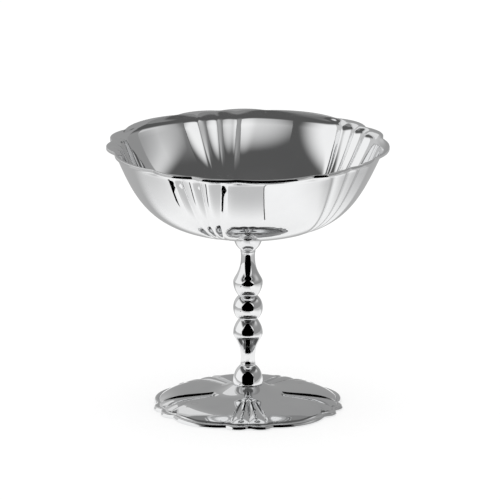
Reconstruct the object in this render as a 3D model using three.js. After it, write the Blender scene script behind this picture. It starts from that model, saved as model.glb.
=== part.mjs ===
// A footed bowl in polished stainless steel. A fluted bowl and a scalloped foot, both pressed from sheet,
// are drawn together by a tie rod that runs through five turned stem pieces.
// Millimetres, +Z up. The origin is on the table, under the stem's axis.

import * as THREE from 'three';

// Scalloped pattern of the rim and the foot: each repeat has one broad scallop and two narrow ones
const repeats = 5;
const scallopFullness = 0.75;

// Bowl
const rimRadius = 50;
const rimNotch = 2;
const rimTurn = 30; // degrees from +X to a notch between two narrow scallops
const rimScallop = 19.5; // degrees over a narrow scallop
const lipWidth = 2.6;
const lipRise = 2.2;
const lipThickness = 1.1;
const bowlSheet = 1;
const wallHeight = 29.4;
const wallRun = 21;
const wallFlare = 0.45; // outward run for each millimetre of height, at the lip
const bottomReach = 33;
const creaseDepth = 1.8;
const narrowFlute = 9; // degrees, at the lip
const fluteTurn = 2.7; // degrees that the flutes stand ahead of the lip's notches
const fluteNarrowing = 0.9; // how fast the flutes draw together towards the bottom
const fluteNarrowest = 0.4;
const fluteCrown = 0.45; // how far a narrow flute stays below the broad panel, as a share of the crease
const panelShoulder = 10; // degrees over which the broad panel rounds into its crease

// Foot
const footRadius = 34;
const footNotch = 1.6;
const footTurn = 55; // degrees from +X to a notch between two narrow scallops
const footScallop = 15; // degrees over a narrow scallop
const footHeight = 8;
const footSheet = 1;
const platformRadius = 5.4;
const domeRun = 2.6;
const domeSlope = 0.62; // drop for each millimetre of run, beside the platform
const panelRadius = 14.5; // where the dome's hollow goes over into the crown of its panels
const panelHeight = 5;
const hollowRun = 3.2;
const crownRun = 9;
const panelSlope = 0.05;
const skirtRun = 4;
const skirtSlope = 0.79;
const pipeStart = 12.2; // radius at which the pairs of pipes step down from the dome
const pipeHead = 0.45;
const headLength = 3;
const pipeWidth = 11; // degrees
const pipeCrease = 1.1; // depth of the crease between two pipes
const pipeEdge = 0.6; // depth of the crease beside the broad panel, as a share of the middle one
const pipeCrown = 0.35; // how far a pipe stays below the broad panel, as a share of the crease
const headCrown = 0.6; // the same at the step where it starts
const pipeFullness = 0.5;
const footShoulder = 12; // degrees over which the broad panel rounds into its crease
const footLipWidth = 2;
const footLipThickness = 1.1;
const footLipCrest = 1.5;
const valleyHeight = 1.55;
const valleyScallop = 0.5; // how much of the edge's scallops the valley follows
const crestScallop = 0.8; // how much of them the lip's crest follows

// Stem pieces
const waistRadius = 3.35;
const neckRadius = 2.45;
const neckEndRadius = 2.65;
const neckLength = 1.9;
const neckSweep = 5.9;
const balusterLength = 16.2;
const balusterRadius = 5.2;
const balusterBelly = 5; // height of the widest ring above the waist
const balusterShoulder = 1.7;
const beadLength = 8.4;
const beadRadius = 5.22;
const beadArc = 53.6; // degrees from the bead's middle to its ends
const bellHeight = 6.9;
const bellRadius = 5.4;
const bellLean = 0.27; // how far the side leans in up to its shoulder
const bellShoulder = 3.1;
const bellCrownRadius = 4.6;
const bellCrown = 5;
const bellNeck = 0.4;

// Tie rod and fasteners, M3
const rodRadius = 1.5;
const rodClearance = 0.2;
const threadClearance = 0.1;
const rodTail = 0.8;
const bossRadius = 2.9;
const bossHeight = 3.8;
const bossClearance = 0.3;
const tapDepth = 3.2;
const tapRoom = 0.4;
const washerRadius = 3.5;
const washerThickness = 0.5;
const lockWasherRadius = 2.9;
const lockWasherThickness = 0.8;
const lockWasherSplit = 0.7;
const nutAcrossFlats = 5.5;
const nutThickness = 2.4;
const nutChamfer = 0.25;

// Gap left where one piece seats on the next
const seatGap = 0.2;

// Fineness of the round forms
const roundSides = 32;
const curveSteps = 5;
const wallShares = [0.12, 0.24, 0.36, 0.48, 0.6, 0.72, 0.86, 1]; // rings up the bowl's wall
const fluteSteps = 2;
const scallopSteps = 3;
const domeShares = [0, 0.25, 0.5, 0.76, 0.81]; // rings down the foot's hollow
const panelShares = [0, 0.16, 0.32, 0.47, 0.6, 0.72, 0.83]; // rings down its panels

// Heights of the stack, from the table up
const bottomBellLevel = footHeight + seatGap;
const lowerBalusterLevel = bottomBellLevel + bellHeight + seatGap;
const beadLevel = lowerBalusterLevel + balusterLength + seatGap;
const upperBalusterLevel = beadLevel + beadLength + seatGap;
const topBellLevel = upperBalusterLevel + balusterLength + seatGap;
const bowlLevel = topBellLevel + bellHeight + seatGap;
const bossLevel = bowlLevel - seatGap - bossHeight;

// Heights of the fasteners, down from the foot's platform
const washerLevel = footHeight - footSheet - seatGap - washerThickness;
const lockWasherLevel = washerLevel - seatGap - lockWasherThickness;
const nutLevel = lockWasherLevel - seatGap - nutThickness;
const rodLevel = nutLevel - rodTail;
const rodLength = bossLevel + tapDepth - tapRoom - rodLevel;

const boreRadius = rodRadius + rodClearance;
const threadRadius = rodRadius + threadClearance;
const repeatAngle = 360 / repeats;

const polishedSteel = new THREE.MeshStandardMaterial({ color: 0xd9dadc, roughness: 0.06, metalness: 1 });
const platedSteel = new THREE.MeshStandardMaterial({ color: 0xa9abad, roughness: 0.38, metalness: 1 });

// Degrees from the nearest notch between two narrow scallops
function fromNotch(degrees) {
  const within = degrees % repeatAngle;
  return Math.min(within, repeatAngle - within);
}

// Depth of the scalloped edge, from 0 on a scallop's crown to 1 in a notch
function scallopDepth(degrees, narrow) {
  const offset = fromNotch(degrees);
  const along = offset < narrow ? offset / narrow : (offset - narrow) / (repeatAngle - 2 * narrow);
  return 1 - Math.max(0, Math.sin(Math.PI * along)) ** scallopFullness;
}

// Depth of the bowl's flutes, from 0 on a broad panel to 1 in a crease, at a share of the way up its wall
function fluteDepth(degrees, share) {
  const spread = Math.max(fluteNarrowest, 1 - fluteNarrowing * (1 - share));
  const offset = fromNotch(degrees + repeatAngle - fluteTurn) / spread;
  if (offset < narrowFlute) {
    const crown = Math.sin((Math.PI * offset) / narrowFlute) ** scallopFullness;
    return 1 - (1 - fluteCrown) * crown;
  }
  return Math.max(0, 1 - (offset - narrowFlute) / panelShoulder) ** 2;
}

// Directions round the axis, with the given breaks of half a repeat cut into steps and mirrored
function directionsOver(breaks, steps) {
  const half = [];
  steps.forEach((count, index) => {
    for (let step = 0; step < count; step += 1) {
      half.push(THREE.MathUtils.lerp(breaks[index], breaks[index + 1], step / count));
    }
  });
  const mirrored = half.slice(1).reverse().map((offset) => repeatAngle - offset);
  const repeat = [...half, repeatAngle / 2, ...mirrored];
  const starts = Array.from({ length: repeats }, (_, index) => index * repeatAngle);
  return starts.flatMap((start) => repeat.map((offset) => start + offset));
}

// Depth of the foot's creases, 1 between two pipes, with the pipes' crowns at the given share
function pipeDepth(degrees, crownShare) {
  const offset = fromNotch(degrees);
  if (offset < pipeWidth) {
    const crown = Math.sin((Math.PI * offset) / pipeWidth) ** pipeFullness;
    const crease = THREE.MathUtils.lerp(1, pipeEdge, offset / pipeWidth);
    return THREE.MathUtils.lerp(crease, crownShare, crown);
  }
  return pipeEdge * Math.max(0, 1 - (offset - pipeWidth) / footShoulder) ** 2;
}

// A closed skin over rings, each a radius and a height for every direction.
// With poles the skin closes on the axis at its two ends, and without them the last ring meets the first.
function ringSkin(rings, directions, poles = []) {
  const count = directions.length;
  const positions = [];
  for (const ring of rings) {
    for (const degrees of directions) {
      const angle = THREE.MathUtils.degToRad(degrees);
      const radius = ring.radius(degrees);
      positions.push(radius * Math.cos(angle), radius * Math.sin(angle), ring.z(degrees));
    }
  }
  poles.forEach((z) => positions.push(0, 0, z));

  const indices = [];
  const firstPole = rings.length * count;
  const bands = poles.length ? rings.length - 1 : rings.length;
  for (let side = 0; side < count; side += 1) {
    const next = (side + 1) % count;
    for (let band = 0; band < bands; band += 1) {
      const lower = band * count;
      const upper = ((band + 1) % rings.length) * count;
      indices.push(lower + side, lower + next, upper + next);
      indices.push(lower + side, upper + next, upper + side);
    }
    if (poles.length) {
      const last = (rings.length - 1) * count;
      indices.push(firstPole, next, side);
      indices.push(firstPole + 1, last + side, last + next);
    }
  }

  const geometry = new THREE.BufferGeometry();
  geometry.setAttribute('position', new THREE.Float32BufferAttribute(positions, 3));
  geometry.setIndex(indices);
  geometry.computeVertexNormals();
  return geometry;
}

// A turned piece: [radius, height] points up its outside, then down its bore
function turned(outer, boreProfile) {
  const loop = [...outer, ...boreProfile, outer[0]];
  const points = loop.map(([radius, height]) => new THREE.Vector2(radius, height));
  return new THREE.LatheGeometry(points, roundSides).rotateX(Math.PI / 2);
}

function level(value) {
  return () => value;
}

function plainBore(height) {
  return [[boreRadius, height], [boreRadius, 0]];
}

// Points along a Bezier curve given by its [radius, height] ends and controls, without the first point
function bezier(...controls) {
  const points = controls.map(([radius, height]) => new THREE.Vector2(radius, height));
  const curve = points.length === 4
    ? new THREE.CubicBezierCurve(...points)
    : new THREE.QuadraticBezierCurve(...points);
  return curve.getPoints(curveSteps).slice(1).map((point) => [point.x, point.y]);
}

function bowlShell() {
  const wallRadius = rimRadius - lipWidth;
  const wall = new THREE.CubicBezierCurve(
    new THREE.Vector2(0, 0),
    new THREE.Vector2(bottomReach, 0),
    new THREE.Vector2(wallRadius - wallFlare * wallRun, wallHeight - wallRun),
    new THREE.Vector2(wallRadius, wallHeight),
  );
  // The flutes fade out towards the bottom, and the sheet keeps its thickness
  const wallRing = (share, inset) => {
    const point = wall.getPoint(share);
    const along = wall.getTangent(share);
    const radius = point.x - inset * along.y;
    return {
      radius: (degrees) => radius - creaseDepth * share * fluteDepth(degrees, share),
      z: level(point.y + inset * along.x),
    };
  };
  const lipRadius = (degrees) => rimRadius - rimNotch * scallopDepth(degrees, rimScallop);
  const lipTop = wallHeight + lipRise;
  const rings = [
    ...wallShares.map((share) => wallRing(share, 0)),
    { radius: lipRadius, z: level(lipTop - lipThickness) },
    { radius: lipRadius, z: level(lipTop) },
    ...wallShares.toReversed().map((share) => wallRing(share, bowlSheet)),
  ];
  const directions = directionsOver(
    [0, narrowFlute / 2, narrowFlute + fluteTurn, rimScallop, repeatAngle / 2],
    [fluteSteps, fluteSteps, scallopSteps, scallopSteps],
  );
  return ringSkin(rings, directions, [0, bowlSheet]);
}

function footShell() {
  const valleyRadius = footRadius - footLipWidth;
  const crestRadius = footRadius - footLipWidth / 2;
  const dome = new THREE.CubicBezierCurve(
    new THREE.Vector2(platformRadius, footHeight),
    new THREE.Vector2(platformRadius + domeRun, footHeight - domeSlope * domeRun),
    new THREE.Vector2(panelRadius - hollowRun, panelHeight + panelSlope * hollowRun),
    new THREE.Vector2(panelRadius, panelHeight),
  );
  const panel = new THREE.CubicBezierCurve(
    new THREE.Vector2(panelRadius, panelHeight),
    new THREE.Vector2(panelRadius + crownRun, panelHeight - panelSlope * crownRun),
    new THREE.Vector2(valleyRadius - skirtRun, valleyHeight + skirtSlope * skirtRun),
    new THREE.Vector2(valleyRadius, valleyHeight),
  );
  const profile = [
    ...domeShares.map((share) => dome.getPoint(share)),
    ...panelShares.map((share) => panel.getPoint(share)),
  ];
  const creasedRing = (point, drop) => {
    const past = Math.max(0, point.x - pipeStart);
    const along = past / (valleyRadius - pipeStart);
    const swell = 0.55 + 0.45 * Math.sin(Math.PI * along);
    const crease = pipeCrease * Math.min(1, past / pipeHead) * swell * (1 - along ** 4);
    const crown = THREE.MathUtils.lerp(pipeCrown, headCrown, Math.exp(-past / headLength));
    return {
      radius: level(point.x),
      z: (degrees) => point.y - drop - crease * pipeDepth(degrees, crown),
    };
  };
  const lipRing = (radius, share, z) => ({
    radius: (degrees) => radius - footNotch * share * scallopDepth(degrees, footScallop),
    z: level(z),
  });
  const boreRing = (z) => ({ radius: level(boreRadius), z: level(z) });
  const rings = [
    boreRing(footHeight - footSheet),
    ...profile.map((point) => creasedRing(point, footSheet)),
    lipRing(valleyRadius, valleyScallop, valleyHeight - footSheet),
    lipRing(crestRadius, crestScallop, 0),
    lipRing(footRadius, 1, 0),
    lipRing(footRadius, 1, footLipThickness),
    lipRing(crestRadius, crestScallop, footLipCrest),
    lipRing(valleyRadius, valleyScallop, valleyHeight),
    ...profile.toReversed().map((point) => creasedRing(point, 0)),
    boreRing(footHeight),
  ];
  const directions = directionsOver(
    [0, pipeWidth / 2, pipeWidth, footScallop, repeatAngle / 2],
    [fluteSteps, fluteSteps, scallopSteps, scallopSteps],
  );
  return ringSkin(rings, directions);
}

// Waist at the bottom, neck at the top
function baluster() {
  const neckStart = balusterLength - neckLength;
  const outer = [
    [waistRadius, 0],
    ...bezier([waistRadius, 0], [balusterRadius, balusterBelly / 2], [balusterRadius, balusterBelly]),
    ...bezier(
      [balusterRadius, balusterBelly],
      [balusterRadius, balusterBelly + balusterShoulder],
      [neckRadius, neckStart - neckSweep],
      [neckRadius, neckStart],
    ),
    [neckEndRadius, balusterLength],
  ];
  return turned(outer, plainBore(balusterLength));
}

function bead() {
  const steps = 2 * curveSteps;
  const reach = THREE.MathUtils.degToRad(beadArc);
  const outer = Array.from({ length: steps + 1 }, (_, step) => {
    const angle = reach * ((2 * step) / steps - 1);
    const fullness = (Math.cos(angle) - Math.cos(reach)) / (1 - Math.cos(reach));
    const radius = waistRadius + (beadRadius - waistRadius) * fullness;
    return [radius, (beadLength / 2) * (1 + Math.sin(angle) / Math.sin(reach))];
  });
  return turned(outer, plainBore(beadLength));
}

// Open end at the bottom, counterbored to take the boss, and neck at the top
function bell() {
  const outer = [
    [bellRadius, 0],
    ...bezier(
      [bellRadius, 0],
      [bellRadius - bellLean, bellShoulder],
      [bellCrownRadius, bellCrown],
      [neckEndRadius, bellHeight - bellNeck],
    ),
    [neckEndRadius, bellHeight],
  ];
  const counterboreRadius = bossRadius + bossClearance;
  const counterboreDepth = bossHeight + bossClearance;
  return turned(outer, [
    [boreRadius, bellHeight],
    [boreRadius, counterboreDepth],
    [counterboreRadius, counterboreDepth],
    [counterboreRadius, 0],
  ]);
}

function boss() {
  return turned([[bossRadius, 0], [bossRadius, bossHeight], [0, bossHeight]], [
    [0, tapDepth],
    [threadRadius, tapDepth],
    [threadRadius, 0],
  ]);
}

function tieRod() {
  const points = [[0, 0], [rodRadius, 0], [rodRadius, rodLength], [0, rodLength]];
  const profile = points.map(([radius, height]) => new THREE.Vector2(radius, height));
  return new THREE.LatheGeometry(profile, roundSides).rotateX(Math.PI / 2);
}

function washer() {
  return turned([[washerRadius, 0], [washerRadius, washerThickness]], plainBore(washerThickness));
}

// A ring cut through at one place
function lockWasher() {
  const halfSplit = lockWasherSplit / 2;
  const outerStart = Math.asin(halfSplit / lockWasherRadius);
  const innerStart = Math.asin(halfSplit / boreRadius);
  const shape = new THREE.Shape();
  shape.absarc(0, 0, lockWasherRadius, outerStart, 2 * Math.PI - outerStart, false);
  shape.absarc(0, 0, boreRadius, 2 * Math.PI - innerStart, innerStart, true);
  shape.closePath();
  return new THREE.ExtrudeGeometry(shape, {
    depth: lockWasherThickness,
    bevelEnabled: false,
    curveSegments: roundSides,
  });
}

function nut() {
  const cornerRadius = nutAcrossFlats / Math.sqrt(3) - nutChamfer;
  const corners = Array.from({ length: 6 }, (_, corner) => {
    const angle = (corner * Math.PI) / 3;
    return new THREE.Vector2(cornerRadius * Math.cos(angle), cornerRadius * Math.sin(angle));
  });
  const shape = new THREE.Shape(corners);
  shape.holes.push(new THREE.Path().absarc(0, 0, threadRadius + nutChamfer, 0, 2 * Math.PI, true));
  const body = nutThickness - 2 * nutChamfer;
  return new THREE.ExtrudeGeometry(shape, {
    depth: body,
    bevelThickness: nutChamfer,
    bevelSize: nutChamfer,
    bevelSegments: 1,
    curveSegments: roundSides / 2,
  }).translate(0, 0, nutChamfer);
}

function place(parent, name, geometry, material, z) {
  const mesh = new THREE.Mesh(geometry, material);
  mesh.name = name;
  mesh.position.z = z;
  parent.add(mesh);
  return mesh;
}

// Turned over, so that its own top faces down
function placeInverted(parent, name, geometry, material, z, height) {
  const mesh = place(parent, name, geometry, material, z + height);
  mesh.rotation.x = Math.PI;
}

const bowl = new THREE.Group();
bowl.rotation.z = THREE.MathUtils.degToRad(rimTurn);
place(bowl, 'bowl_shell', bowlShell(), polishedSteel, bowlLevel);
place(bowl, 'bowl_boss', boss(), platedSteel, bossLevel);

const stem = new THREE.Group();
placeInverted(stem, 'top_bell', bell(), polishedSteel, topBellLevel, bellHeight);
place(stem, 'upper_baluster', baluster(), polishedSteel, upperBalusterLevel);
place(stem, 'middle_bead', bead(), polishedSteel, beadLevel);
placeInverted(stem, 'lower_baluster', baluster(), polishedSteel, lowerBalusterLevel, balusterLength);
place(stem, 'bottom_bell', bell(), polishedSteel, bottomBellLevel);
place(stem, 'tie_rod', tieRod(), platedSteel, rodLevel);

const foot = new THREE.Group();
foot.rotation.z = THREE.MathUtils.degToRad(footTurn);
place(foot, 'foot_shell', footShell(), polishedSteel, 0);
place(foot, 'foot_washer', washer(), platedSteel, washerLevel);
place(foot, 'lock_washer', lockWasher(), platedSteel, lockWasherLevel);
place(foot, 'foot_nut', nut(), platedSteel, nutLevel);

const footedBowl = new THREE.Group();
footedBowl.add(bowl, stem, foot);

export default footedBowl;
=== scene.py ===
import math

import bpy
import numpy as np
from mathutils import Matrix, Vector, kdtree


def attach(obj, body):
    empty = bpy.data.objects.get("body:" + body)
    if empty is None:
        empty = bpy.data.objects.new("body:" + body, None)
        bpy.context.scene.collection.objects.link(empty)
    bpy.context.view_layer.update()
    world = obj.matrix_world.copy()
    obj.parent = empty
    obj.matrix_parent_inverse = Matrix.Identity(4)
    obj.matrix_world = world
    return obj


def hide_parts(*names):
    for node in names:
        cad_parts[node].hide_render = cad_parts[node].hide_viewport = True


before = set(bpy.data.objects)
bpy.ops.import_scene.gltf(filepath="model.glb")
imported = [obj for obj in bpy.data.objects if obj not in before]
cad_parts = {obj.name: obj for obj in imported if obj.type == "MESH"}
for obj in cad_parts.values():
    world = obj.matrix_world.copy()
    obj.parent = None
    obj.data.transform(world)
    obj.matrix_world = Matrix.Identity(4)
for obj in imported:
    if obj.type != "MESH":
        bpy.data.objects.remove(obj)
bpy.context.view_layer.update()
mm = 0.001
print("frame loaded:", len(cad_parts), "nodes")


# working tools

def deselectAll():
    if bpy.context.mode != "OBJECT":
        bpy.ops.object.mode_set(mode="OBJECT")
    bpy.ops.object.select_all(action="DESELECT")


def pick(piece):
    deselectAll()
    piece.select_set(True)
    bpy.context.view_layer.objects.active = piece


def curveBetween(controls, steps):
    # points along a Bezier curve of three or four [radius, height] controls, without the first one
    points = []
    for step in range(1, steps + 1):
        share = step / steps
        level = [Vector(control) for control in controls]
        while len(level) > 1:
            level = [a.lerp(b, share) for a, b in zip(level, level[1:])]
        points.append(tuple(level[0]))
    return points


def roundedLine(corners, steps=4):
    # a line of [radius, height, rounding] corners, each one eased over its rounding
    line = []
    for index, (radius, height, rounding) in enumerate(corners):
        corner = Vector((radius, height))
        if not rounding:
            line.append(tuple(corner))
            continue
        before = Vector(corners[index - 1][:2]) - corner
        after = Vector(corners[(index + 1) % len(corners)][:2]) - corner
        start = corner + before.normalized() * min(rounding, before.length * 0.5)
        end = corner + after.normalized() * min(rounding, after.length * 0.5)
        line.append(tuple(start))
        line += curveBetween([start, corner, end], steps)
    return line


def spinLine(name, line, steps, closed=True):
    # draw the line vertex by vertex, then spin it round the stem's axis
    deselectAll()
    bpy.ops.mesh.primitive_plane_add(size=mm)
    piece = bpy.context.object
    piece.name = name
    piece.data.name = name
    bpy.ops.object.mode_set(mode="EDIT")
    bpy.ops.mesh.select_all(action="SELECT")
    bpy.ops.mesh.merge(type="CENTER")
    path = list(line) + ([line[0]] if closed else [])
    last = (0.0, 0.0)
    for index, (radius, height) in enumerate(path):
        move = ((radius - last[0]) * mm, 0, (height - last[1]) * mm)
        if index == 0:
            bpy.ops.transform.translate(value=move)
        else:
            bpy.ops.mesh.extrude_region_move(TRANSFORM_OT_translate={"value": move})
        last = (radius, height)
    bpy.ops.mesh.select_all(action="SELECT")
    bpy.ops.mesh.spin(steps=steps, angle=2 * math.pi, center=(0, 0, 0), axis=(0, 0, 1))
    bpy.ops.mesh.select_all(action="SELECT")
    bpy.ops.mesh.remove_doubles(threshold=0.002 * mm)
    bpy.ops.mesh.normals_make_consistent(inside=False)
    bpy.ops.object.mode_set(mode="OBJECT")
    return piece


def pushRings(piece, line, steps, place):
    # move every vertex by its side (step round the axis) and its point of the line
    tree = kdtree.KDTree(len(line))
    for index, (radius, height) in enumerate(line):
        tree.insert((radius, height, 0), index)
    tree.balance()
    flat = np.empty(len(piece.data.vertices) * 3)
    piece.data.vertices.foreach_get("co", flat)
    points = flat.reshape(-1, 3)
    for point in points:
        radius = math.hypot(point[0], point[1]) / mm
        side = round(math.atan2(point[1], point[0]) / (2 * math.pi) * steps) % steps
        index = tree.find((radius, point[2] / mm, 0))[1]
        angle, newRadius, newHeight = place(side, index)
        point[0] = newRadius * math.cos(angle) * mm
        point[1] = newRadius * math.sin(angle) * mm
        point[2] = newHeight * mm
    piece.data.vertices.foreach_set("co", flat)
    piece.data.update()


def finishPiece(piece, node, material, sharpAngle):
    pick(piece)
    bpy.ops.object.shade_smooth_by_angle(angle=math.radians(sharpAngle))
    piece.data.materials.clear()
    piece.data.materials.append(material)
    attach(piece, "root")
    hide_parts(node)


# scallops and flutes that run round the axis

scallopPattern = {
    "repeats": 5,
    "fullness": 0.75,
    "narrowFlute": 9.0,      # degrees from one crease to the next
    "fluteCrown": 0.45,      # how far a flute stays below the broad panel
    "panelShoulder": 10.0,   # degrees over which the panel rounds into its crease
    "samples": 7200,
}
repeatAngle = 360 / scallopPattern["repeats"]
sampleAngles = np.arange(scallopPattern["samples"]) * 360 / scallopPattern["samples"]


def fromNotch(degrees):
    within = degrees % repeatAngle
    return np.minimum(within, repeatAngle - within)


def softened(values, degrees):
    # round off cusps with a bell-shaped average over the given angle
    count = len(values)
    offsets = np.minimum(np.arange(count), count - np.arange(count)) * 360 / count
    bell = np.exp(-0.5 * (offsets / degrees) ** 2)
    return np.real(np.fft.ifft(np.fft.fft(values) * np.fft.fft(bell / bell.sum())))


def scallopCurve(narrow, rounding):
    # narrow gives the degrees from one notch to the next over a narrow scallop
    offset = fromNotch(sampleAngles)
    along = np.where(offset < narrow, offset / narrow, (offset - narrow) / (repeatAngle - 2 * narrow))
    return softened(1 - np.abs(np.sin(np.pi * along)) ** scallopPattern["fullness"], rounding)


def fluteCurve(rounding):
    offset = fromNotch(sampleAngles)
    narrow = scallopPattern["narrowFlute"]
    crown = np.abs(np.sin(np.pi * offset / narrow)) ** scallopPattern["fullness"]
    inside = 1 - (1 - scallopPattern["fluteCrown"]) * crown
    outside = np.clip(1 - (offset - narrow) / scallopPattern["panelShoulder"], 0, 1) ** 2
    return softened(np.where(offset < narrow, inside, outside), rounding)


def readCurve(curve, degrees):
    place = (degrees % 360) * len(curve) / 360
    low = int(place) % len(curve)
    return float(curve[low] + (curve[(low + 1) % len(curve)] - curve[low]) * (place - int(place)))


def directionsOver(breaks, steps):
    # degrees for every side, with more of them where the form turns quickly
    half = []
    for start, end, count in zip(breaks, breaks[1:], steps):
        half += [start + (end - start) * step / count for step in range(count)]
    repeat = half + [repeatAngle / 2] + [repeatAngle - offset for offset in reversed(half[1:])]
    return [turn * repeatAngle + offset for turn in range(scallopPattern["repeats"]) for offset in repeat]


# materials

def addNode(tree, kind, x, y, **settings):
    node = tree.nodes.new(kind)
    node.location = (x, y)
    for key, value in settings.items():
        setattr(node, key, value)
    return node


def newGroup(name, inputs, outputs):
    tree = bpy.data.node_groups.new(name, "ShaderNodeTree")
    for socketName, kind, value in inputs:
        socket = tree.interface.new_socket(name=socketName, in_out="INPUT", socket_type=kind)
        if value is not None:
            socket.default_value = value
    for socketName, kind in outputs:
        tree.interface.new_socket(name=socketName, in_out="OUTPUT", socket_type=kind)
    return tree, addNode(tree, "NodeGroupInput", -900, 0), addNode(tree, "NodeGroupOutput", 700, 0)


def mathNode(tree, x, y, operation, first=None, second=None):
    node = addNode(tree, "ShaderNodeMath", x, y, operation=operation)
    for socket, value in zip(node.inputs, (first, second)):
        if isinstance(value, (int, float)):
            socket.default_value = value
        elif value is not None:
            tree.links.new(value, socket)
    return node.outputs[0]


def rangeNode(tree, x, y, value, low, high, toLow=0.0, toHigh=1.0):
    node = addNode(tree, "ShaderNodeMapRange", x, y, interpolation_type="SMOOTHSTEP")
    tree.links.new(value, node.inputs["Value"])
    for name, number in (("From Min", low), ("From Max", high), ("To Min", toLow), ("To Max", toHigh)):
        if isinstance(number, (int, float)):
            node.inputs[name].default_value = number
        else:
            tree.links.new(number, node.inputs[name])
    return node.outputs["Result"]


def buildPolishLines():
    # fine rings that a polishing wheel leaves round a turning piece
    tree, start, end = newGroup(
        "polishLines",
        [("Coordinates", "NodeSocketVector", None), ("Lines per metre", "NodeSocketFloat", 4000.0),
         ("Wander", "NodeSocketFloat", 40.0)],
        [("Lines", "NodeSocketFloat")],
    )
    flatten = addNode(tree, "ShaderNodeVectorMath", -700, 120, operation="MULTIPLY")
    flatten.inputs[1].default_value = (1, 1, 0)
    tree.links.new(start.outputs["Coordinates"], flatten.inputs[0])
    reach = addNode(tree, "ShaderNodeVectorMath", -540, 120, operation="LENGTH")
    tree.links.new(flatten.outputs[0], reach.inputs[0])
    apart = addNode(tree, "ShaderNodeSeparateXYZ", -700, -60)
    tree.links.new(start.outputs["Coordinates"], apart.inputs[0])
    wander = addNode(tree, "ShaderNodeTexNoise", -540, -240)
    tree.links.new(start.outputs["Coordinates"], wander.inputs["Vector"])
    tree.links.new(start.outputs["Wander"], wander.inputs["Scale"])
    across = mathNode(tree, -340, 120, "MULTIPLY", reach.outputs["Value"], start.outputs["Lines per metre"])
    up = mathNode(tree, -340, -60, "MULTIPLY", apart.outputs["Z"], start.outputs["Lines per metre"])
    drift = mathNode(tree, -340, -240, "MULTIPLY", wander.outputs["Fac"], 3.0)
    joined = addNode(tree, "ShaderNodeCombineXYZ", -140, 0)
    for socket, value in zip(joined.inputs, (across, drift, up)):
        tree.links.new(value, socket)
    rings = addNode(tree, "ShaderNodeTexNoise", 60, 0)
    rings.inputs["Scale"].default_value = 1.0
    rings.inputs["Detail"].default_value = 3.0
    tree.links.new(joined.outputs[0], rings.inputs["Vector"])
    lines = rangeNode(tree, 280, 0, rings.outputs["Fac"], 0.32, 0.68)
    tree.links.new(lines, end.inputs["Lines"])
    return tree


def buildHairScratches():
    # sparse hair-fine scratches in three directions
    tree, start, end = newGroup(
        "hairScratches",
        [("Coordinates", "NodeSocketVector", None), ("Amount", "NodeSocketFloat", 0.5)],
        [("Scratches", "NodeSocketFloat")],
    )
    total = None
    for index, (turn, tilt) in enumerate(((0.3, 0.7), (1.5, -0.4), (2.4, 1.1))):
        mapping = addNode(tree, "ShaderNodeMapping", -680, 260 - index * 260)
        mapping.inputs["Rotation"].default_value = (tilt, 0.5 * tilt, turn)
        mapping.inputs["Scale"].default_value = (90, 6000, 90)
        tree.links.new(start.outputs["Coordinates"], mapping.inputs["Vector"])
        streaks = addNode(tree, "ShaderNodeTexNoise", -480, 260 - index * 260)
        streaks.inputs["Scale"].default_value = 1.0
        streaks.inputs["Detail"].default_value = 1.0
        tree.links.new(mapping.outputs[0], streaks.inputs["Vector"])
        thin = rangeNode(tree, -280, 260 - index * 260, streaks.outputs["Fac"], 0.70, 0.78)
        total = thin if total is None else mathNode(tree, -60, 200 - index * 200, "MAXIMUM", total, thin)
    patches = addNode(tree, "ShaderNodeTexNoise", -480, -560)
    patches.inputs["Scale"].default_value = 75.0
    tree.links.new(start.outputs["Coordinates"], patches.inputs["Vector"])
    where = rangeNode(tree, -280, -560, patches.outputs["Fac"], 0.45, 0.65)
    placed = mathNode(tree, 160, 0, "MULTIPLY", total, where)
    shown = mathNode(tree, 360, 0, "MULTIPLY", placed, start.outputs["Amount"])
    tree.links.new(shown, end.inputs["Scratches"])
    return tree


def buildHandlingFilm():
    # a thin wiped film: broad cloudy patches with small dried drop rims
    tree, start, end = newGroup(
        "handlingFilm",
        [("Coordinates", "NodeSocketVector", None), ("Patch scale", "NodeSocketFloat", 55.0),
         ("Drops per metre", "NodeSocketFloat", 160.0)],
        [("Film", "NodeSocketFloat"), ("Drops", "NodeSocketFloat")],
    )
    cloud = addNode(tree, "ShaderNodeTexNoise", -640, 160)
    cloud.inputs["Detail"].default_value = 5.0
    cloud.inputs["Distortion"].default_value = 0.6
    tree.links.new(start.outputs["Coordinates"], cloud.inputs["Vector"])
    tree.links.new(start.outputs["Patch scale"], cloud.inputs["Scale"])
    tree.links.new(rangeNode(tree, -380, 160, cloud.outputs["Fac"], 0.42, 0.72), end.inputs["Film"])
    cells = addNode(tree, "ShaderNodeTexVoronoi", -640, -160)
    tree.links.new(start.outputs["Coordinates"], cells.inputs["Vector"])
    tree.links.new(start.outputs["Drops per metre"], cells.inputs["Scale"])
    tone = addNode(tree, "ShaderNodeSeparateColor", -400, -320)
    tree.links.new(cells.outputs["Color"], tone.inputs[0])
    size = mathNode(tree, -200, -380, "MULTIPLY", tone.outputs[1], 0.3)
    gap = mathNode(tree, -200, -180, "SUBTRACT", cells.outputs["Distance"], size)
    rim = rangeNode(tree, 0, -180, mathNode(tree, -100, -120, "ABSOLUTE", gap), 0.0, 0.035, 1.0, 0.0)
    few = mathNode(tree, 0, -380, "GREATER_THAN", tone.outputs[0], 0.86)
    tree.links.new(mathNode(tree, 240, -220, "MULTIPLY", rim, few), end.inputs["Drops"])
    return tree


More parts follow.
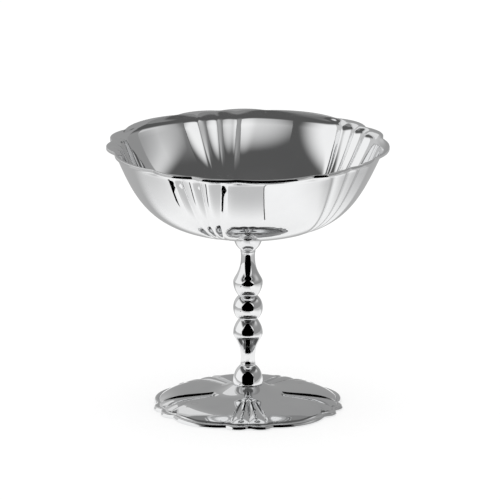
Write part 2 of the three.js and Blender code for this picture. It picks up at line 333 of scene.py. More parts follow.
def buildPlatingMottle():
    # cloudy zinc plating with rubbed bright spots
    tree, start, end = newGroup(
        "platingMottle",
        [("Coordinates", "NodeSocketVector", None), ("Grain", "NodeSocketFloat", 1400.0)],
        [("Mottle", "NodeSocketFloat"), ("Rub", "NodeSocketFloat")],
    )
    grain = addNode(tree, "ShaderNodeTexNoise", -600, 120)
    grain.inputs["Detail"].default_value = 4.0
    tree.links.new(start.outputs["Coordinates"], grain.inputs["Vector"])
    tree.links.new(start.outputs["Grain"], grain.inputs["Scale"])
    tree.links.new(rangeNode(tree, -360, 120, grain.outputs["Fac"], 0.3, 0.7), end.inputs["Mottle"])
    rub = addNode(tree, "ShaderNodeTexNoise", -600, -160)
    rub.inputs["Scale"].default_value = 380.0
    tree.links.new(start.outputs["Coordinates"], rub.inputs["Vector"])
    tree.links.new(rangeNode(tree, -360, -160, rub.outputs["Fac"], 0.55, 0.7), end.inputs["Rub"])
    return tree


polishLines = buildPolishLines()
hairScratches = buildHairScratches()
handlingFilm = buildHandlingFilm()
platingMottle = buildPlatingMottle()


def placeGroup(tree, group, x, y, coordinates, name, value):
    # name is the group's own input that takes the value
    node = addNode(tree, "ShaderNodeGroup", x, y, node_tree=group)
    tree.links.new(coordinates, node.inputs["Coordinates"])
    node.inputs[name].default_value = value
    return node


def mixColour(tree, x, y, factor, first, second):
    node = addNode(tree, "ShaderNodeMix", x, y, data_type="RGBA")
    tree.links.new(factor, node.inputs[0])
    for socket, value in ((node.inputs[6], first), (node.inputs[7], second)):
        if isinstance(value, tuple):
            socket.default_value = (*value, 1)
        else:
            tree.links.new(value, socket)
    return node.outputs[2]


def newMaterial(name):
    material = bpy.data.materials.new(name)
    material.use_nodes = True
    tree = material.node_tree
    tree.nodes.clear()
    output = addNode(tree, "ShaderNodeOutputMaterial", 900, 0)
    return material, tree, output


def newMetal(name):
    material, tree, output = newMaterial(name)
    shader = addNode(tree, "ShaderNodeBsdfPrincipled", 560, 0)
    shader.inputs["Metallic"].default_value = 1.0
    tree.links.new(shader.outputs[0], output.inputs[0])
    coordinates = addNode(tree, "ShaderNodeTexCoord", -1100, 0).outputs["Object"]
    return material, tree, shader, coordinates


def addBump(tree, shader, height, strength, distance):
    bump = addNode(tree, "ShaderNodeBump", 300, -420)
    bump.inputs["Strength"].default_value = strength
    bump.inputs["Distance"].default_value = distance * mm
    tree.links.new(height, bump.inputs["Height"])
    tree.links.new(bump.outputs[0], shader.inputs["Normal"])


def polishedSteel(name, look):
    material, tree, shader, coordinates = newMetal(name)
    lines = placeGroup(tree, polishLines, -820, 240, coordinates, "Lines per metre", look["lines"])
    scratches = placeGroup(tree, hairScratches, -820, 0, coordinates, "Amount", look["scratches"])
    film = placeGroup(tree, handlingFilm, -820, -240, coordinates, "Patch scale", look["patches"])

    filmed = mixColour(tree, -420, 320, film.outputs["Film"], look["colour"], look["filmColour"])
    spotted = mixColour(tree, -220, 320, film.outputs["Drops"], filmed, look["dropColour"])
    tree.links.new(spotted, shader.inputs["Base Color"])

    cloudy = mathNode(tree, -420, 0, "MULTIPLY", film.outputs["Film"], look["filmRoughness"])
    ringed = mathNode(tree, -420, -160, "MULTIPLY", lines.outputs["Lines"], look["lineRoughness"])
    scored = mathNode(tree, -420, -320, "MULTIPLY", scratches.outputs["Scratches"], look["scratchRoughness"])
    dried = mathNode(tree, -420, -480, "MULTIPLY", film.outputs["Drops"], look["dropRoughness"])
    rough = mathNode(tree, -200, 0, "ADD", cloudy, look["roughness"])
    for index, extra in enumerate((ringed, scored, dried)):
        rough = mathNode(tree, index * 160, -120, "ADD", rough, extra)
    tree.links.new(rough, shader.inputs["Roughness"])

    cut = mathNode(tree, -200, -420, "MULTIPLY", scratches.outputs["Scratches"], -1.0)
    ridges = mathNode(tree, -200, -560, "MULTIPLY", lines.outputs["Lines"], 0.2)
    addBump(tree, shader, mathNode(tree, 0, -420, "ADD", cut, ridges), look["bump"], 0.002)
    return material


bowlLook = {
    "colour": (0.86, 0.865, 0.87), "filmColour": (0.835, 0.84, 0.848), "dropColour": (0.845, 0.85, 0.856),
    "roughness": 0.028, "filmRoughness": 0.022, "lineRoughness": 0.012, "scratchRoughness": 0.12,
    "dropRoughness": 0.015, "lines": 3800.0, "scratches": 0.5, "patches": 48.0, "bump": 0.25,
}
stemLook = {
    "colour": (0.85, 0.855, 0.86), "filmColour": (0.825, 0.83, 0.838), "dropColour": (0.80, 0.805, 0.81),
    "roughness": 0.025, "filmRoughness": 0.018, "lineRoughness": 0.02, "scratchRoughness": 0.1,
    "dropRoughness": 0.03, "lines": 7000.0, "scratches": 0.4, "patches": 90.0, "bump": 0.25,
}
footLook = {
    "colour": (0.84, 0.845, 0.85), "filmColour": (0.81, 0.815, 0.825), "dropColour": (0.77, 0.775, 0.78),
    "roughness": 0.03, "filmRoughness": 0.03, "lineRoughness": 0.015, "scratchRoughness": 0.16,
    "dropRoughness": 0.06, "lines": 3800.0, "scratches": 0.8, "patches": 60.0, "bump": 0.3,
}
polishedBowl = polishedSteel("polishedBowl", bowlLook)
polishedStem = polishedSteel("polishedStem", stemLook)
polishedFoot = polishedSteel("polishedFoot", footLook)


def zincPlate(name, look):
    material, tree, shader, coordinates = newMetal(name)
    plating = placeGroup(tree, platingMottle, -740, 100, coordinates, "Grain", look["grain"])
    scratches = placeGroup(tree, hairScratches, -740, -160, coordinates, "Amount", look["scratches"])
    mottled = mixColour(tree, -380, 240, plating.outputs["Mottle"], look["colour"], look["darkColour"])
    rubbed = mixColour(tree, -180, 240, plating.outputs["Rub"], mottled, look["rubColour"])
    tree.links.new(rubbed, shader.inputs["Base Color"])
    grainy = mathNode(tree, -380, -40, "MULTIPLY", plating.outputs["Mottle"], look["grainRoughness"])
    scored = mathNode(tree, -380, -200, "MULTIPLY", scratches.outputs["Scratches"], look["scratchRoughness"])
    dull = mathNode(tree, -280, 0, "ADD", grainy, look["roughness"])
    rough = mathNode(tree, -180, -40, "ADD", dull, scored)
    tree.links.new(rough, shader.inputs["Roughness"])
    addBump(tree, shader, plating.outputs["Mottle"], look["bump"], 0.01)
    return material


zincLook = {
    "colour": (0.62, 0.625, 0.63), "darkColour": (0.50, 0.51, 0.52), "rubColour": (0.72, 0.72, 0.72),
    "roughness": 0.3, "grainRoughness": 0.14, "scratchRoughness": 0.1,
    "grain": 1400.0, "scratches": 0.6, "bump": 0.35,
}
zincPlated = zincPlate("zincPlated", zincLook)
print("materials made")


# bowl: pressed sheet with flutes, broad panels and a turned-out scalloped lip

bowl = {
    "level": 63.8, "rimRadius": 50.0, "rimNotch": 2.0, "rimTurn": 30.0, "narrowScallop": 19.5,
    "lipWidth": 2.6, "lipRise": 2.2, "lipThickness": 1.1, "lipRounding": 0.15,
    "lipTurn": 0.1, "lipFlat": 1.3, "lipSlant": 0.05,
    "sheet": 1.0, "wallHeight": 29.4, "wallRun": 21.0, "wallFlare": 0.45, "bottomReach": 33.0,
    "creaseDepth": 1.8, "creaseRounding": 0.55, "notchRounding": 0.8, "bendRounding": 1.1,
    "fluteTurn": 2.7,        # degrees that the flutes stand ahead of the lip's notches
    "fluteNarrowing": 0.9, "fluteNarrowest": 0.4,
    "wallRings": 44, "sharpAngle": 60,
    "sidesOf": ((0, 12.5, 19.5, 36), (32, 10, 12)),
}


def makeBowl():
    wallRadius = bowl["rimRadius"] - bowl["lipWidth"]
    controls = [Vector(point) for point in (
        (0, 0), (bowl["bottomReach"], 0),
        (wallRadius - bowl["wallFlare"] * bowl["wallRun"], bowl["wallHeight"] - bowl["wallRun"]),
        (wallRadius, bowl["wallHeight"]),
    )]

    def wallPoint(share, inset):
        turns = [a.lerp(b, share) for a, b in zip(controls, controls[1:])]
        ends = [a.lerp(b, share) for a, b in zip(turns, turns[1:])]
        point, along = ends[0].lerp(ends[1], share), (ends[1] - ends[0]).normalized()
        return point + Vector((-along.y, along.x)) * inset

    # each entry: radius, height, share of the flutes, share of the scallops
    lipTop = bowl["wallHeight"] + bowl["lipRise"]
    lipUnder = lipTop - bowl["lipThickness"]
    rim, rounding, bend = bowl["rimRadius"], bowl["lipRounding"], bowl["bendRounding"]
    outerEnd, innerEnd = wallPoint(1, 0), wallPoint(1, bowl["sheet"])
    shares = [step / bowl["wallRings"] for step in range(bowl["wallRings"])]
    outer = [(*wallPoint(share, 0), share, 0.0) for share in shares[:-1]]
    inner = [(*wallPoint(share, bowl["sheet"]), share, 0.0) for share in shares[:-1]]

    def alongLip(points, end):
        rows = []
        for radius, height in points:
            lipShare = min(1.0, max(0.0, (radius - end.x) / (rim - end.x)))
            rows.append((radius, height, 1 - lipShare, lipShare))
        return rows

    turn, flat = bowl["lipTurn"], bowl["lipFlat"]
    lipLine = roundedLine([
        (*outer[-1][:2], 0), (*outerEnd, bend), (rim - flat, lipUnder - turn, flat),
        (rim, lipUnder, rounding), (rim, lipTop - bowl["lipSlant"], rounding),
        (rim - flat, lipTop, flat), (*innerEnd, bend), (*inner[-1][:2], 0),
    ], steps=6)
    edge = alongLip(lipLine[1:-1], outerEnd)
    rows = outer + edge + list(reversed(inner))
    line = [(row[0], row[1] + bowl["level"]) for row in rows]
    directions = directionsOver(*bowl["sidesOf"])
    sides = len(directions)
    piece = spinLine("bowlShell", line, sides, closed=False)

    flutes = fluteCurve(bowl["creaseRounding"])
    scallops = scallopCurve(bowl["narrowScallop"], bowl["notchRounding"])

    def place(side, index):
        radius, height, fluteShare, lipShare = rows[index]
        scallop = readCurve(scallops, directions[side])
        offset = (directions[side] - bowl["fluteTurn"] + repeatAngle / 2) % repeatAngle - repeatAngle / 2
        spread = 1.0
        if lipShare == 0:
            spread = max(bowl["fluteNarrowest"], 1 - bowl["fluteNarrowing"] * (1 - fluteShare))
        flute = readCurve(flutes, max(-repeatAngle / 2, min(repeatAngle / 2, offset / spread)))
        pressed = bowl["creaseDepth"] * fluteShare * flute + bowl["rimNotch"] * lipShare * scallop
        return math.radians(directions[side] + bowl["rimTurn"]), max(0.0, radius - pressed), line[index][1]

    pushRings(piece, line, sides, place)
    finishPiece(piece, "bowl_shell", polishedBowl, bowl["sharpAngle"])


makeBowl()
print("bowl made")


# foot: pressed sheet, a hollow dome that goes over into convex panels, creased pairs of pipes, scalloped lip

foot = {
    "radius": 34.0, "notch": 2.1, "turn": 55.0, "height": 8.0, "sheet": 1.0, "boreRadius": 1.7,
    "platformRadius": 5.4, "domeRun": 2.6, "domeSlope": 0.62, "hollowRun": 3.2,
    "panelRadius": 14.5, "panelHeight": 5.0, "panelSlope": 0.05, "crownRun": 9.0,
    "skirtRun": 4.0, "skirtSlope": 0.79,
    "pipeStart": 12.2, "pipeHead": 0.45, "pipeWidth": 11.0, "pipeFullness": 0.5, "pipeRounding": 0.1,
    "pipeCrease": 2.0, "creaseStart": 0.55,  # depth between two pipes, and its share at their start
    "pipeEdge": 0.6,         # share of that depth beside a panel
    "wallWidth": 0.7,        # degrees over which a panel drops to the crease beside it
    "pipeCrown": 0.18, "headCrown": 0.32, "headLength": 3.0,
    "lipWidth": 2.0, "lipThickness": 1.1, "lipCrest": 1.5, "lipSlant": 0.5, "lipRounding": 0.12,
    "crestRounding": 0.3, "valleyHeight": 1.55, "valleyScallop": 0.5, "crestScallop": 0.8,
    "narrowScallop": 15.0, "notchRounding": 1.0,
    "sidesOf": ((0, 1.2, 9.8, 11, 11.8, 36), (10, 14, 8, 8, 18)),
    "domeSteps": 20, "panelSteps": 34, "sharpAngle": 50,
}


def pipeCurves():
    # depth of the creases, 1 between two pipes, and where the crowns of the pipes lie
    offset = fromNotch(sampleAngles)
    width, edge = foot["pipeWidth"], foot["pipeEdge"]
    crown = np.where(offset < width, np.abs(np.sin(np.pi * offset / width)) ** foot["pipeFullness"], 0)
    inside = (1 + (edge - 1) * offset / width) * (1 - crown)
    outside = edge * np.clip(1 - (offset - width) / foot["wallWidth"], 0, 1)
    creases = softened(np.where(offset < width, inside, outside), foot["pipeRounding"])
    return creases, softened(crown, foot["pipeRounding"])


def pipeCrease(radius):
    # the creases start with a step in the dome's hollow and run out at the valley
    valley = foot["radius"] - foot["lipWidth"]
    past = max(0.0, radius - foot["pipeStart"])
    head = min(1.0, past / foot["pipeHead"])
    along = min(1.0, past / (valley - foot["pipeStart"]))
    swell = foot["creaseStart"] + (1 - foot["creaseStart"]) * math.sin(math.pi * along)
    return foot["pipeCrease"] * head * swell * (1 - along ** 4)


def pipeCrown(radius):
    # the pipes start low behind the step and come up level with the panels
    past = max(0.0, radius - foot["pipeStart"]) / foot["headLength"]
    return foot["pipeCrown"] + (foot["headCrown"] - foot["pipeCrown"]) * math.exp(-past)


def makeFoot():
    valley = foot["radius"] - foot["lipWidth"]
    crest = foot["radius"] - foot["lipWidth"] / 2
    platform, height, under = foot["platformRadius"], foot["height"], foot["sheet"]
    reach, level, slope = foot["panelRadius"], foot["panelHeight"], foot["panelSlope"]
    dome = [(platform, height)] + curveBetween([
        (platform, height), (platform + foot["domeRun"], height - foot["domeSlope"] * foot["domeRun"]),
        (reach - foot["hollowRun"], level + slope * foot["hollowRun"]), (reach, level),
    ], foot["domeSteps"])
    dome += curveBetween([
        (reach, level), (reach + foot["crownRun"], level - slope * foot["crownRun"]),
        (valley - foot["skirtRun"], foot["valleyHeight"] + foot["skirtSlope"] * foot["skirtRun"]),
        (valley, foot["valleyHeight"]),
    ], foot["panelSteps"])[:-1]
    edge, thick = foot["radius"], foot["lipThickness"]
    soft, softCrest = foot["lipRounding"], foot["crestRounding"]
    lip = roundedLine([
        (valley, foot["valleyHeight"] - under, 0), (crest, 0, soft), (edge, 0, soft),
        (edge, thick * 0.5, 0.2), (edge - foot["lipSlant"], thick * 1.25, 0.25),
        (crest, foot["lipCrest"], softCrest), (valley, foot["valleyHeight"], softCrest),
    ], steps=6)
    bore = foot["boreRadius"]
    line = [(bore, height - under), (bore * 2, height - under)]
    line += [(radius, level - under) for radius, level in dome]
    line += lip + list(reversed(dome))
    line += [(bore * 2, height), (bore, height)]
    directions = directionsOver(*foot["sidesOf"])
    sides = len(directions)
    piece = spinLine("footShell", line, sides)

    scallops = scallopCurve(foot["narrowScallop"], foot["notchRounding"])
    creases, crowns = pipeCurves()
    follow = np.interp([radius for radius, level in line], [foot["pipeStart"], valley, crest, edge],
                       [0, foot["valleyScallop"], foot["crestScallop"], 1])
    pressed = [(pipeCrease(radius), pipeCrown(radius)) for radius, level in line]
    depths = [[readCurve(curve, degrees) for curve in (scallops, creases, crowns)] for degrees in directions]

    def place(side, index):
        radius, level = line[index]
        scallop, crease, crown = depths[side]
        depth, crownShare = pressed[index]
        angle = math.radians(directions[side] + foot["turn"])
        sunk = depth * (crease + crownShare * crown)
        return angle, radius - foot["notch"] * follow[index] * scallop, level - sunk

    pushRings(piece, line, sides, place)
    finishPiece(piece, "foot_shell", polishedFoot, foot["sharpAngle"])


makeFoot()
print("foot made")


# stem: bell, baluster, bead, baluster, bell, threaded on a tie rod

stem = {
    "waistRadius": 3.35, "neckRadius": 2.45, "neckEndRadius": 2.65, "neckLength": 1.9, "neckSweep": 5.9,
    "balusterLength": 16.2, "balusterRadius": 5.2, "balusterBelly": 5.0, "balusterShoulder": 1.7,
    "beadLength": 8.4, "beadRadius": 5.22, "beadArc": 53.6,
    "bellHeight": 6.9, "bellDome": ((5.4, 0), (5.13, 3.1), (4.6, 5.0), (2.65, 6.5)),
    "boreRadius": 1.7, "counterboreRadius": 3.2, "counterboreDepth": 4.1,
    "seat": 0.08,            # how far each end closes up on the next piece
    "sides": 128, "curveSteps": 28, "neckSteps": 8, "edgeRounding": 0.12, "sharpAngle": 50,
    # the level of each piece's lower end
    "bottomBell": 8.2, "lowerBaluster": 15.3, "middleBead": 31.7, "upperBaluster": 40.3, "topBell": 56.7,
}


def boredLine(outer, length, bore=None):
    # close an outside line with its bore, and ease its end edges
    soft, low, high = stem["edgeRounding"], -stem["seat"], length + stem["seat"]
    ease = soft * 0.3
    bottom, top = outer[0][0], outer[-1][0]
    line = [(bottom - soft, low), (bottom - ease, low + ease), (bottom, low + soft)]
    line += [point for point in outer if low + soft < point[1] < high - soft]
    line += [(top, high - soft), (top - ease, high - ease), (top - soft, high)]
    line += bore or [(stem["boreRadius"], high), (stem["boreRadius"], low)]
    return line


def balusterLine():
    length, radius, belly = stem["balusterLength"], stem["balusterRadius"], stem["balusterBelly"]
    neckStart, steps = length - stem["neckLength"], stem["curveSteps"]
    outer = [(stem["waistRadius"], 0.0)]
    outer += curveBetween([(stem["waistRadius"], 0), (radius, belly / 2), (radius, belly)], steps)
    outer += curveBetween([
        (radius, belly), (radius, belly + stem["balusterShoulder"]),
        (stem["neckRadius"], neckStart - stem["neckSweep"]), (stem["neckRadius"], neckStart),
    ], steps)
    outer += curveBetween([
        (stem["neckRadius"], neckStart), (stem["neckRadius"], length - 0.4 * stem["neckLength"]),
        (stem["neckEndRadius"], length),
    ], stem["neckSteps"])
    return boredLine(outer, length)


def beadLine():
    length, steps = stem["beadLength"], 2 * stem["curveSteps"]
    reach = math.radians(stem["beadArc"])
    outer = []
    for step in range(steps + 1):
        angle = reach * (2 * step / steps - 1)
        fullness = (math.cos(angle) - math.cos(reach)) / (1 - math.cos(reach))
        radius = stem["waistRadius"] + (stem["beadRadius"] - stem["waistRadius"]) * fullness
        outer.append((radius, length / 2 * (1 + math.sin(angle) / math.sin(reach))))
    return boredLine(outer, length)


def bellLine():
    length, seat, dome = stem["bellHeight"], stem["seat"], stem["bellDome"]
    outer = [dome[0]] + curveBetween(dome, stem["curveSteps"]) + [(stem["neckEndRadius"], length)]
    return boredLine(outer, length, [
        (stem["boreRadius"], length + seat), (stem["boreRadius"], stem["counterboreDepth"]),
        (stem["counterboreRadius"], stem["counterboreDepth"]), (stem["counterboreRadius"], -seat),
    ])


def makeStemPiece(name, node, line, invertedLength=None):
    level = stem[name]
    if invertedLength is None:
        placed = [(radius, level + height) for radius, height in line]
    else:
        placed = [(radius, level + invertedLength - height) for radius, height in line]
    piece = spinLine(name, placed, stem["sides"])
    finishPiece(piece, node, polishedStem, stem["sharpAngle"])


makeStemPiece("topBell", "top_bell", bellLine(), stem["bellHeight"])
makeStemPiece("upperBaluster", "upper_baluster", balusterLine())
makeStemPiece("middleBead", "middle_bead", beadLine())
makeStemPiece("lowerBaluster", "lower_baluster", balusterLine(), stem["balusterLength"])
makeStemPiece("bottomBell", "bottom_bell", bellLine())
print("stem made")


# tie rod and fasteners, zinc plated

fasteners = {
    "threadRadius": 1.5, "threadRoot": 1.22, "pitch": 0.5, "ringsPerPitch": 6, "rodSides": 48,
    "rodBottom": 1.9, "rodTop": 62.6, "lowerThread": 8.0, "upperThread": 7.0,
    "rodTip": 0.3, "tipRadius": 1.12,
    "bossRadius": 2.9, "bossBottom": 59.8, "bossTop": 63.6, "bossChamfer": 0.35, "bossRounding": 0.12,
    "tapRadius": 1.6, "tapTop": 63.0, "tapRounding": 0.1,
    "boreRadius": 1.7,       # of both washers
    "washerRadius": 3.5, "washerBottom": 6.3, "washerTop": 6.8, "washerRounding": 0.15,
    "lockRadius": 2.9, "lockBottom": 5.3, "lockTop": 6.1, "lockRounding": 0.1,
    "lockSplit": 0.7, "lockSpring": 0.06,
    "nutAcrossFlats": 5.5, "nutBottom": 2.7, "nutTop": 5.1, "nutChamfer": 0.34, "nutBore": 1.6,
    "boreChamfer": 0.25, "nutFace": 0.95, "chamferSteps": 8,
    "turn": 55.0, "sides": 96, "sharpAngle": 35, "nutSharpAngle": 25,
}


def finishFastener(piece, node, sharpAngle=fasteners["sharpAngle"]):
    finishPiece(piece, node, zincPlated, sharpAngle)


def makeTieRod():
    bottom, top, tip = fasteners["rodBottom"], fasteners["rodTop"], fasteners["rodTip"]
    crest, root, pitch = fasteners["threadRadius"], fasteners["threadRoot"], fasteners["pitch"]
    step = pitch / fasteners["ringsPerPitch"]
    lowerEnd, upperStart = bottom + fasteners["lowerThread"], top - fasteners["upperThread"]
    heights = [bottom + tip + step * count for count in range(round((lowerEnd - bottom - tip) / step))]
    heights += [lowerEnd, (lowerEnd + upperStart) / 2, upperStart]
    heights += [upperStart + step * count for count in range(1, round((top - tip - upperStart) / step))]
    end = fasteners["tipRadius"]
    line = [(0.0, bottom), (end, bottom)] + [(crest, height) for height in heights] + [(end, top), (0.0, top)]
    sides = fasteners["rodSides"]
    piece = spinLine("tieRod", line, sides, closed=False)

    def place(side, index):
        radius, height = line[index]
        angle = 2 * math.pi * side / sides
        threaded = radius == crest and not lowerEnd <= height <= upperStart
        if threaded:
            turn = (height / pitch - side / sides) % 1.0
            radius = root + (crest - root) * abs(2 * turn - 1)
        return angle, radius, height

    pushRings(piece, line, sides, place)
    finishFastener(piece, "tie_rod")


def makeBoss():
    radius, bottom, top = fasteners["bossRadius"], fasteners["bossBottom"], fasteners["bossTop"]
    chamfer, soft = fasteners["bossChamfer"], fasteners["bossRounding"]
    tap, tapTop, tapSoft = fasteners["tapRadius"], fasteners["tapTop"], fasteners["tapRounding"]
    line = roundedLine([
        (0.0, tapTop, 0), (tap * 0.9, tapTop - 0.1, tapSoft), (tap, tapTop - 0.3, tapSoft),
        (tap, bottom + chamfer, tapSoft), (tap + chamfer * 0.7, bottom, tapSoft),
        (radius - chamfer, bottom, soft), (radius, bottom + chamfer, soft),
        (radius, top - chamfer * 0.5, soft), (radius - chamfer * 0.5, top, soft), (0.0, top, 0),
    ])
    finishFastener(spinLine("bowlBoss", line, fasteners["sides"], closed=False), "bowl_boss")


def ringLine(kind):
    # section of a washer, softer outside than in its bore
    outer, bottom, top, soft = (fasteners[kind + part] for part in ("Radius", "Bottom", "Top", "Rounding"))
    inner, softBore = fasteners["boreRadius"], soft * 0.6
    return roundedLine([
        (inner, bottom, softBore), (outer, bottom, soft), (outer, top, soft), (inner, top, softBore),
    ])


def makeWasher():
    finishFastener(spinLine("footWasher", ringLine("washer"), fasteners["sides"]), "foot_washer")


def makeLockWasher():
    line, sides = ringLine("lock"), fasteners["sides"]
    piece = spinLine("lockWasher", line, sides)
    halfGap = math.asin(fasteners["lockSplit"] / (fasteners["boreRadius"] + fasteners["lockRadius"]))
    bpy.ops.object.mode_set(mode="EDIT")
    bpy.ops.mesh.select_all(action="DESELECT")
    bpy.ops.object.mode_set(mode="OBJECT")
    for face in piece.data.polygons:
        angle = math.atan2(face.center.y, face.center.x)
        face.select = abs(angle) < halfGap
    bpy.ops.object.mode_set(mode="EDIT")
    bpy.ops.mesh.select_mode(type="FACE")
    bpy.ops.mesh.delete(type="FACE")
    bpy.ops.mesh.select_mode(type="VERT")
    bpy.ops.mesh.select_all(action="SELECT")
    bpy.ops.mesh.fill_holes(sides=0)
    bpy.ops.mesh.select_all(action="SELECT")
    bpy.ops.mesh.normals_make_consistent(inside=False)
    bpy.ops.object.mode_set(mode="OBJECT")

    def place(side, index):
        # one end of the split stands up and the other down
        radius, height = line[index]
        turned = side / sides - 0.5
        spring = -2 * fasteners["lockSpring"] * turned * (abs(turned) + 0.5)
        return math.radians(side / sides * 360 + fasteners["turn"]), radius, height + spring

    pushRings(piece, line, sides, place)
    finishFastener(piece, "lock_washer")


def makeNut():
    flat = fasteners["nutAcrossFlats"] / 2
    corner = flat / math.cos(math.pi / 6)
    bottom, top, bore, chamfer = (fasteners[key] for key in ("nutBottom", "nutTop", "nutBore", "nutChamfer"))
    lead = fasteners["boreChamfer"]
    start = flat * fasteners["nutFace"]
    steps = fasteners["chamferSteps"]
    rise = [step / steps for step in range(steps + 1)]
    line = [(bore, bottom + lead), (bore + lead, bottom)]
    line += [(start + (corner - start) * share, bottom + chamfer * share) for share in rise]
    line += [(start + (corner - start) * share, top - chamfer * share) for share in reversed(rise)]
    line += [(bore + lead, top), (bore, top - lead)]
    sides = fasteners["sides"]
    piece = spinLine("footNut", line, sides)

    def place(side, index):
        radius, height = line[index]
        fromFlat = (side / sides * 360) % 60 - 30
        reach = flat / math.cos(math.radians(fromFlat))
        return math.radians(side / sides * 360 + fasteners["turn"]), min(radius, reach), height

    pushRings(piece, line, sides, place)
    finishFastener(piece, "foot_nut", fasteners["nutSharpAngle"])


makeTieRod()
makeBoss()
makeWasher()
makeLockWasher()
makeNut()
print("fasteners made")


# stage: floor, glowing studio cards that only the polish reflects (painted reflections that light nothing),
# lamp, camera

stage = {"floorRadius": 2.5, "floorDrop": 0.05, "shadowShare": 0.3}


def makeFloor():
    deselectAll()
    bpy.ops.mesh.primitive_circle_add(vertices=96, radius=stage["floorRadius"], fill_type="NGON",
                                      location=(0, 0, -stage["floorDrop"] * mm))
    floor = bpy.context.object
    floor.name = "floor"
    material, tree, output = newMaterial("paleFloor")
    rays = addNode(tree, "ShaderNodeLightPath", -600, 200)
    seen = mathNode(tree, -400, 200, "MAXIMUM", rays.outputs["Is Camera Ray"], rays.outputs["Is Glossy Ray"])
    seen = mathNode(tree, -200, 200, "MAXIMUM", seen, rays.outputs["Is Transmission Ray"])
    paint = addNode(tree, "ShaderNodeBsdfDiffuse", -200, 0)
    paint.inputs["Color"].default_value = (0.95, 0.95, 0.95, 1)
    glow = addNode(tree, "ShaderNodeEmission", -200, -160)
    glow.inputs["Color"].default_value = (1, 1, 1, 1)
    share = mathNode(tree, 0, 200, "MULTIPLY", seen, 1 - stage["shadowShare"])
    mix = addNode(tree, "ShaderNodeMixShader", 300, 0)
    tree.links.new(share, mix.inputs[0])
    tree.links.new(paint.outputs[0], mix.inputs[1])
    tree.links.new(glow.outputs[0], mix.inputs[2])
    tree.links.new(mix.outputs[0], output.inputs[0])
    floor.data.materials.append(material)


def makeCard(name, corners, tone, fade=None):
    # a glowing card out of the camera's sight that lights nothing, casts no shadow and shows only in the
    # polish:
    # a painted reflection of its tone; fade gives the two points between which it goes from clear to full
    deselectAll()
    bpy.ops.mesh.primitive_plane_add(size=1)
    card = bpy.context.object
    card.name = name
    for vertex, corner in zip(card.data.vertices, (corners[0], corners[1], corners[3], corners[2])):
        vertex.co = Vector(corner)
    material, tree, output = newMaterial(name + "Tone")
    glow = addNode(tree, "ShaderNodeEmission", 300, 0)
    glow.inputs["Color"].default_value = (tone, tone, tone, 1)
    surface = glow.outputs[0]
    if fade:
        start, end = Vector(fade[0]), Vector(fade[1])
        along = (end - start) / (end - start).length_squared
        place = addNode(tree, "ShaderNodeTexCoord", -500, 0).outputs["Object"]
        moved = addNode(tree, "ShaderNodeVectorMath", -300, 0, operation="SUBTRACT")
        moved.inputs[1].default_value = start
        tree.links.new(place, moved.inputs[0])
        share = addNode(tree, "ShaderNodeVectorMath", -120, 0, operation="DOT_PRODUCT")
        share.inputs[1].default_value = along
        tree.links.new(moved.outputs[0], share.inputs[0])
        clear = addNode(tree, "ShaderNodeBsdfTransparent", 300, 120)
        mix = addNode(tree, "ShaderNodeMixShader", 560, 0)
        tree.links.new(rangeNode(tree, 60, 200, share.outputs["Value"], 0.0, 1.0), mix.inputs[0])
        tree.links.new(clear.outputs[0], mix.inputs[1])
        tree.links.new(glow.outputs[0], mix.inputs[2])
        surface = mix.outputs[0]
    tree.links.new(surface, output.inputs[0])
    card.data.materials.append(material)
    card.visible_camera = False
    card.visible_diffuse = False
    card.visible_shadow = False
    card.visible_transmission = False


def levelCard(name, outline, height, tone, fade=None):
    # lies level; outline gives its four [x, y] corners
    makeCard(name, [(x, y, height) for x, y in outline], tone, fade)


def uprightCard(name, start, end, low, high, tone, fade=None):
    # stands from low to high over the line from start to end
    makeCard(name, [(*start, low), (*end, low), (*end, high), (*start, high)], tone, fade)


studio = {
    "flagLine": -0.1,        # where the black flag in front of the object stands
    "shadeHeight": 0.00005, "sheetHeight": 0.0001, "stripHeight": 0.0002, "patchHeight": 0.0003,
    "black": 0.0, "reach": 0.62, "top": 0.9,
}


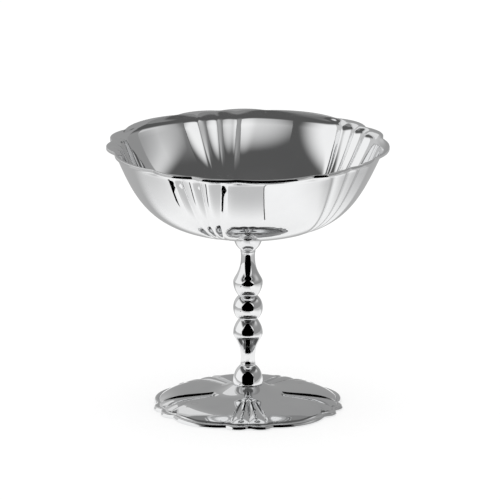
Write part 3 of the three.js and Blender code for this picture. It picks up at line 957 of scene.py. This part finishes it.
def makeCards():
    black, line, reach, top = (studio[key] for key in ("black", "flagLine", "reach", "top"))
    # a black card in front of the object: a painted dark reflection, it blocks no light
    for name, outline in (
        ("frontFlag", ((-0.1, 0.0), (0.085, 0.0), (0.115, 0.05), (-0.125, 0.05))),
        ("flagPeak", ((-0.125, 0.05), (0.115, 0.05), (0.02, 0.15), (-0.03, 0.15))),
    ):
        makeCard(name, [(x, line, z) for x, z in outline], black)

    # painted floor shade close to the foot, seen only in the polish: a grey sheet fading out in front, dark
    # side patches and a dark edge line
    levelCard("frontFloorShade", ((-0.038, -0.037), (0.0175, -0.037), (0.0228, -0.095), (-0.086, -0.095)),
              studio["sheetHeight"], 0.6, ((0, -0.045, 0), (0, -0.09, 0)))
    levelCard("sideShadeNear", ((-0.085, -0.058), (-0.078, -0.076), (-0.09, -0.076), (-0.097, -0.058)),
              studio["patchHeight"], black)
    levelCard("sideShadeFar", ((-0.073, -0.036), (-0.085, -0.058), (-0.097, -0.058), (-0.084, -0.036)),
              studio["patchHeight"], black)
    levelCard("frontShadeEdge",
              ((0.0193, -0.04794), (0.0181, -0.04806), (0.0227, -0.09506), (0.0239, -0.09494)),
              studio["stripHeight"], black)

    # behind the object and at its right: painted reflections of a grey backdrop, a pale part, a bright
    # window, a darker floor behind the foot and grey side boards
    uprightCard("backGrey", (-1.2, 0.6), (1.2, 0.6), 0, 0.9, 0.34)
    uprightCard("backPale", (-1.2, 0.59), (-0.02, 0.59), 0, 0.9, 0.6, ((-0.02, 0, 0), (-0.35, 0, 0)))
    uprightCard("backWindow", (-0.42, 0.55), (-0.14, 0.55), 0.33, 0.72, 0.8)
    levelCard("backFloor", ((-0.6, 0.036), (0.6, 0.036), (0.6, 0.6), (-0.6, 0.6)),
              studio["sheetHeight"], 0.45, ((0, 0.036, 0), (0, 0.09, 0)))
    greyFade = ((0, 0, 0.5), (0, 0, 0.2))
    uprightCard("rightGrey", (0.28, -0.25), (0.6, 0.05), 0, 0.8, 0.3, greyFade)
    uprightCard("sideGrey", (0.6, 0.05), (0.6, 0.6), 0, 0.8, 0.3, greyFade)

    # painted reflection of a dark canopy all round: name, the side it stands on, from where it fades in, to
    # where, tone
    for name, x, y, low, full, tone in (
        ("backCanopy", 0, 1, 0.58, 0.8, 0.25), ("frontCanopy", 0, -1, 0.45, 0.75, 0.1),
        ("leftCanopy", -1, 0, 0.4, 0.6, 0.1), ("rightCanopy", 1, 0, 0.35, 0.55, 0.1),
    ):
        ends = [(reach * (x - y * side), reach * (y - x * side)) for side in (-1, 1)]
        uprightCard(name, *ends, low, top, tone, ((0, 0, low), (0, 0, full)))
    # painted reflection of a dark ceiling, lighter towards the back
    levelCard("ceiling", ((-reach, -reach), (reach, -reach), (reach, reach), (-reach, reach)), top, 0.1)
    levelCard("ceilingBack", ((-reach, 0), (reach, 0), (reach, reach), (-reach, reach)), top - 0.01, 0.25,
              ((0, 0, 0), (0, 0.3, 0)))
    for side, name in ((-1, "leftShade"), (1, "rightShade")):
        near, full, far = side * 0.055, side * 0.16, side * 0.6
        levelCard(name, ((near, -0.5), (near, 0.5), (far, 0.5), (far, -0.5)),
                  studio["shadeHeight"], 0.55, ((near, 0, 0), (full, 0, 0)))


makeFloor()
makeCards()

world = bpy.data.worlds.new("studio")
bpy.context.scene.world = world
world.use_nodes = True
background = world.node_tree.nodes["Background"]
background.inputs["Color"].default_value = (1, 1, 1, 1)
background.inputs["Strength"].default_value = 1.0

lampSet = {"height": 1.4, "size": 1.2, "power": 6.0}
deselectAll()
bpy.ops.object.light_add(type="AREA", location=(0, 0, lampSet["height"]))
overheadLamp = bpy.context.object
overheadLamp.name = "overheadLamp"
overheadLamp.data.size = lampSet["size"]
overheadLamp.data.energy = lampSet["power"]

cameraSet = {
    "elevation": 15.3, "distance": 4.5, "aim": (0.00072, 0.0, 0.0568),
    "frameWidth": 0.17643,   # metres across the picture at the object
    "sensor": 36.0, "clipStart": 0.5, "clipEnd": 20.0,
}


def makeCamera():
    tilt = math.radians(cameraSet["elevation"])
    aim = Vector(cameraSet["aim"])
    back = Vector((0, -math.cos(tilt), math.sin(tilt)))
    deselectAll()
    bpy.ops.object.camera_add(location=aim + back * cameraSet["distance"])
    camera = bpy.context.object
    camera.name = "photoCamera"
    camera.rotation_euler = (-back).to_track_quat("-Z", "Y").to_euler()
    camera.data.sensor_width = cameraSet["sensor"]
    camera.data.lens = cameraSet["sensor"] * cameraSet["distance"] / cameraSet["frameWidth"]
    camera.data.clip_start = cameraSet["clipStart"]
    camera.data.clip_end = cameraSet["clipEnd"]
    bpy.context.scene.camera = camera


makeCamera()
bpy.context.scene.view_settings.view_transform = "Standard"
print("stage made")
